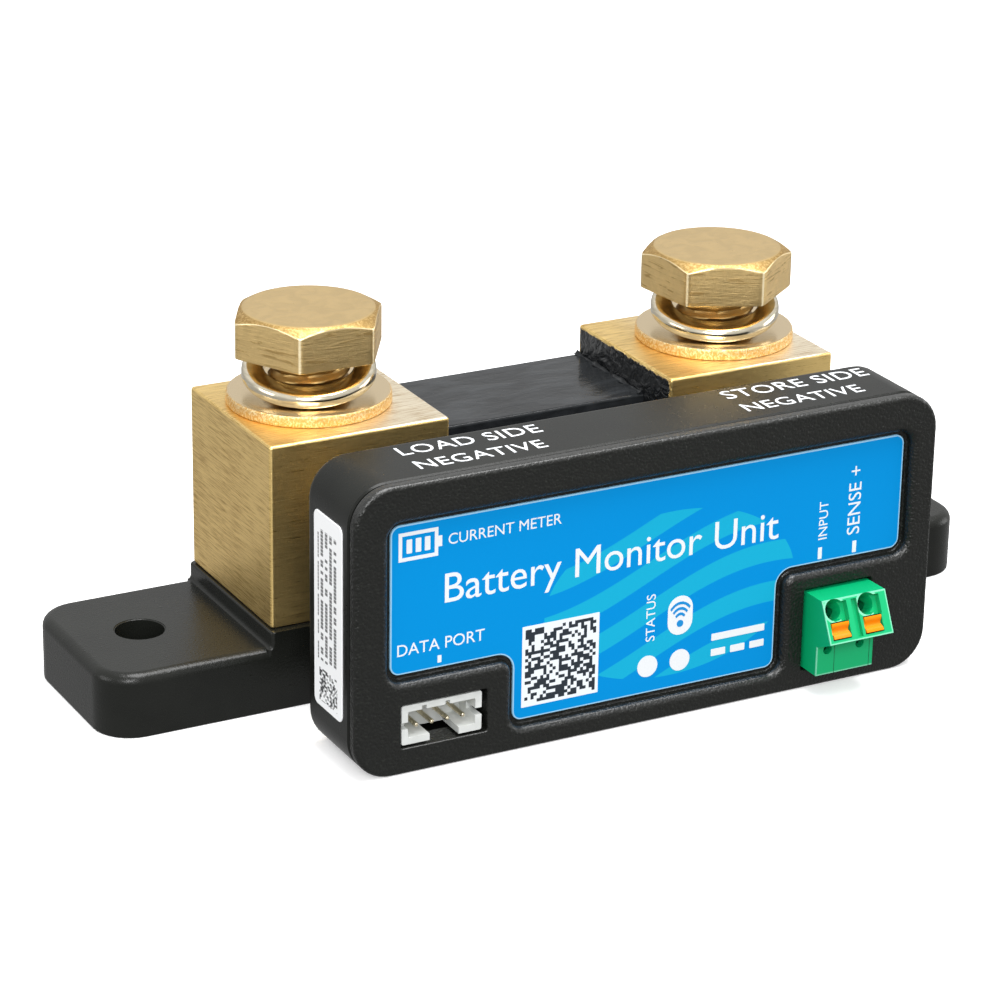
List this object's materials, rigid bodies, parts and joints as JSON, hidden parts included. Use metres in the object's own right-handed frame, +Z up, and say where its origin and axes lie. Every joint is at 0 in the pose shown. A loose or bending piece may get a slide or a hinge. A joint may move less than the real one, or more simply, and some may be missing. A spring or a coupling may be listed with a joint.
{
  "type": "battery monitor shunt",
  "caption": "Shunt for a battery's negative cable: brass terminal blocks on a plastic base with bolts and washers, resistor plates, a sensing case and a pull-off plug.",
  "frame": {"origin": "middle of the mounting base's underside, half way between the two ear holes", "axes": "+X along the base towards the right terminal block, +Y from the electronics case to the blocks, +Z up"},
  "size_m": [0.12, 0.0522, 0.0451],
  "materials": {
    "black_plastic": "satin moulded with a fine grain",
    "cover_plastic": "spark-eroded fine texture",
    "brass": "brushed",
    "bolt_brass": "bright, as forged on the sides",
    "lacquer": "gloss black lacquer over resistance alloy",
    "steel": "bright plated",
    "screw_steel": "zinc plated",
    "label_blue": "printed film",
    "label_white": "printed film",
    "socket_plastic": "natural moulded",
    "pin_gold": "gold plated",
    "plug_green": "satin moulded",
    "lever_orange": "satin moulded",
    "board_green": "solder mask",
    "chip_black": "moulded",
    "module_silver": "tinned",
    "light_guide": "frosted"
  },
  "bodies": {
    "shunt": {"mounting_base": "black_plastic", "left_terminal_block": "brass", "right_terminal_block": "brass", "resistor_plate_1": "lacquer", "resistor_plate_2": "lacquer", "resistor_plate_3": "lacquer", "resistor_plate_4": "lacquer", "block_screw_1": "screw_steel", "block_screw_2": "screw_steel", "block_screw_3": "screw_steel", "block_screw_4": "screw_steel", "rear_case": "black_plastic", "front_cover": "cover_plastic", "circuit_board": "board_green", "radio_module": "module_silver", "processor_chip": "chip_black", "amplifier_chip": "chip_black", "power_inductor": "chip_black", "supply_capacitor_1": "module_silver", "supply_capacitor_2": "module_silver", "status_led_1": "light_guide", "status_led_2": "light_guide", "light_guide_1": "light_guide", "light_guide_2": "light_guide", "data_socket_shell": "socket_plastic", "data_socket_pin_1": "pin_gold", "data_socket_pin_2": "pin_gold", "data_socket_pin_3": "pin_gold", "data_socket_pin_4": "pin_gold", "plug_header": "plug_green", "header_pin_1": "pin_gold", "header_pin_2": "pin_gold", "sense_screw_1": "screw_steel", "sense_screw_2": "screw_steel", "sense_spacer_1": "brass", "sense_spacer_2": "brass", "front_label": "label_blue", "side_label": "label_white"},
    "left_washers": {"left_flat_washer": "bolt_brass", "left_spring_washer": "steel"},
    "left_bolt": {"left_bolt": "bolt_brass"},
    "right_washers": {"right_flat_washer": "bolt_brass", "right_spring_washer": "steel"},
    "right_bolt": {"right_bolt": "bolt_brass"},
    "terminal_plug": {"plug_housing": "plug_green", "plug_contact_1": "pin_gold", "plug_contact_2": "pin_gold", "clamp_spring_1": "steel", "clamp_spring_2": "steel"},
    "release_lever_1": {"release_lever_1": "lever_orange"},
    "release_lever_2": {"release_lever_2": "lever_orange"}
  },
  "joints": [
    {"name": "left_bolt_rise", "type": "slide", "parent": "shunt", "child": "left_washers", "axis": [0, 0, 1], "range_m": [0, 0.01875]},
    {"name": "left_bolt_turn", "type": "hinge", "parent": "left_washers", "child": "left_bolt", "pos_m": [-0.0277, 0.0014, 0.0332], "axis": [0, 0, 1], "range_deg": [0, 4500]},
    {"name": "right_bolt_rise", "type": "slide", "parent": "shunt", "child": "right_washers", "axis": [0, 0, 1], "range_m": [0, 0.01875]},
    {"name": "right_bolt_turn", "type": "hinge", "parent": "right_washers", "child": "right_bolt", "pos_m": [0.0286, 0.0009, 0.0332], "axis": [0, 0, 1], "range_deg": [0, 4500]},
    {"name": "plug_pull", "type": "slide", "parent": "shunt", "child": "terminal_plug", "axis": [0, -1, 0], "range_m": [0, 0.006]},
    {"name": "lever_1_press", "type": "slide", "parent": "terminal_plug", "child": "release_lever_1", "axis": [0, 0.8981, -0.4397], "range_m": [0, 0.001], "stiffness_N_per_m": 300},
    {"name": "lever_2_press", "type": "slide", "parent": "terminal_plug", "child": "release_lever_2", "axis": [0, 0.8981, -0.4397], "range_m": [0, 0.001], "stiffness_N_per_m": 300}
  ],
  "couplings": [
    {"joint": "left_bolt_turn", "follows": "left_bolt_rise", "rad_per_m": 4188.8},
    {"joint": "right_bolt_turn", "follows": "right_bolt_rise", "rad_per_m": 4188.8}
  ]
}
